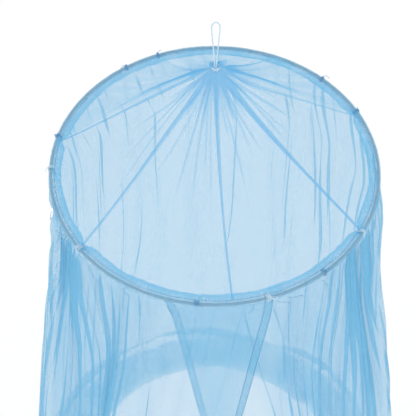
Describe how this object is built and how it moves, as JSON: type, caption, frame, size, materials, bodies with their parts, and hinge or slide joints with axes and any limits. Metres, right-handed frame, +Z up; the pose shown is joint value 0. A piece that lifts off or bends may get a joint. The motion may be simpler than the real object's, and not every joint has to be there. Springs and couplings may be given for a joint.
{
  "type": "mosquito net canopy on a hoop",
  "caption": "Round blue net canopy: pointed gathered top, thin tube hoop in a net casing, long gathered skirt with a front door, and a cord loop to hang it by.",
  "frame": {"origin": "top of the hanging loop, where a ceiling hook holds it", "axes": "+Z up; the door faces -Y; +X to the right of someone facing the door"},
  "size_m": [1.173, 1.1571, 2.0276],
  "materials": {
    "net": "sheer matt polyester net",
    "casing_net": "two plies of matt net, sewn",
    "hoop_tube": "smooth glossy tube",
    "white_cord": "twisted cord",
    "sewing_thread": "sewing thread"
  },
  "bodies": {
    "root": {"hoop": "hoop_tube", "hoop_casing": "casing_net", "canopy_top": "net", "skirt": "net", "neck_binding": "white_cord", "hanging_loop": "white_cord", "tie_01": "sewing_thread", "tie_02": "sewing_thread", "tie_03": "sewing_thread", "tie_04": "sewing_thread", "tie_05": "sewing_thread", "tie_06": "sewing_thread", "tie_07": "sewing_thread", "tie_08": "sewing_thread", "tie_09": "sewing_thread", "tie_10": "sewing_thread", "tie_11": "sewing_thread"}
  },
  "joints": []
}
